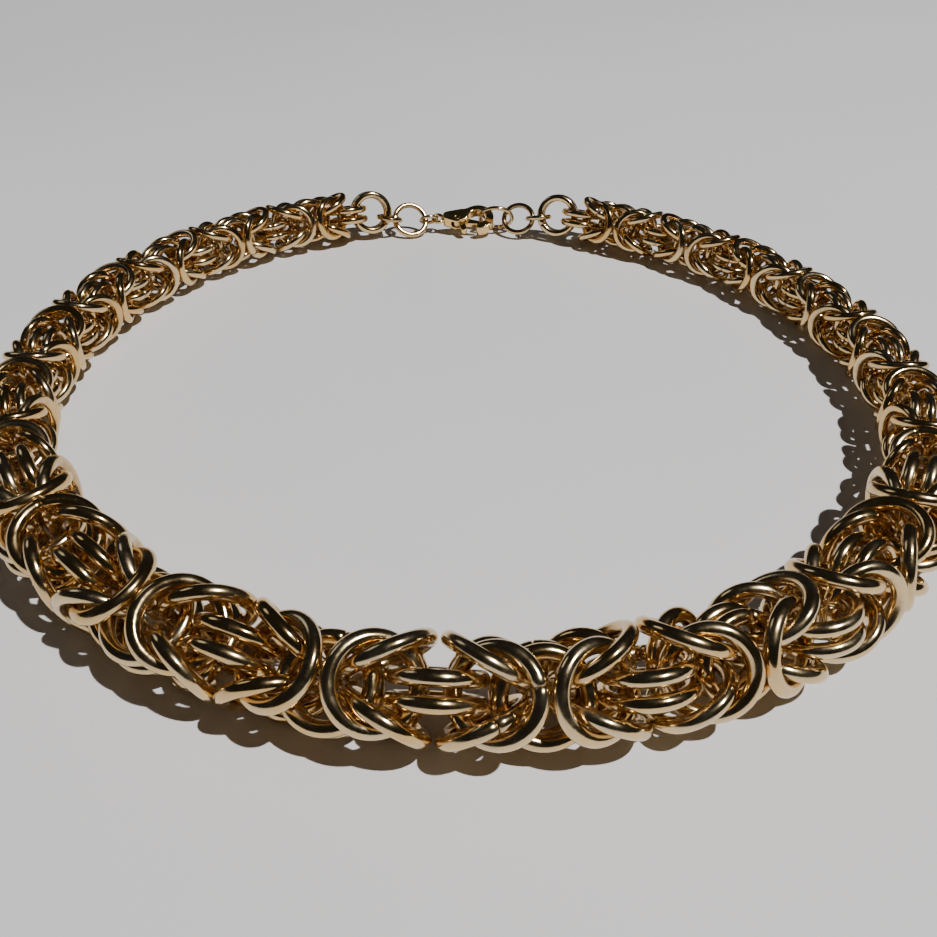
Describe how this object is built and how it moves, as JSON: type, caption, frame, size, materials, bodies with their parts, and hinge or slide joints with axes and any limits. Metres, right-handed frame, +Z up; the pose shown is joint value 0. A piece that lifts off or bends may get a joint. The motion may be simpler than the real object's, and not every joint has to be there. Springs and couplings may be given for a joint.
{
  "type": "chain necklace",
  "caption": "Graduated byzantine chain necklace of round links, thicker at the front, closed at the back by a sprung lobster clasp.",
  "frame": {"origin": "middle of the outline, on the floor the necklace lies on", "axes": "+Z up from the floor, -Y toward the thick front of the chain, +Y toward the clasp, +X to the wearer's left when the clasp is behind the neck"},
  "size_m": [0.1742, 0.1737, 0.016],
  "materials": {
    "chain": "polished antique gold tone, dark between the links",
    "end_rings": "polished antique gold tone",
    "clasp": "bright polished gold tone"
  },
  "bodies": {
    "necklace": {"chain_left": "chain", "chain_right": "chain", "end_ring_left": "end_rings", "clasp_jump_ring": "end_rings", "eye_ring": "clasp", "clasp_body": "clasp", "clasp_pin": "clasp", "hook_ring": "clasp", "end_ring_right_a": "end_rings", "end_ring_right_b": "end_rings"},
    "lever": {"clasp_lever": "clasp"}
  },
  "joints": [
    {"name": "lever_hinge", "type": "hinge", "parent": "necklace", "child": "lever", "pos_m": [-0.00188, 0.08185, 0.00361], "axis": [-0.0462, -0.4041, 0.9135], "range_deg": [0, 15], "stiffness_Nm_per_rad": 0.008, "springref_deg": -20.05}
  ]
}
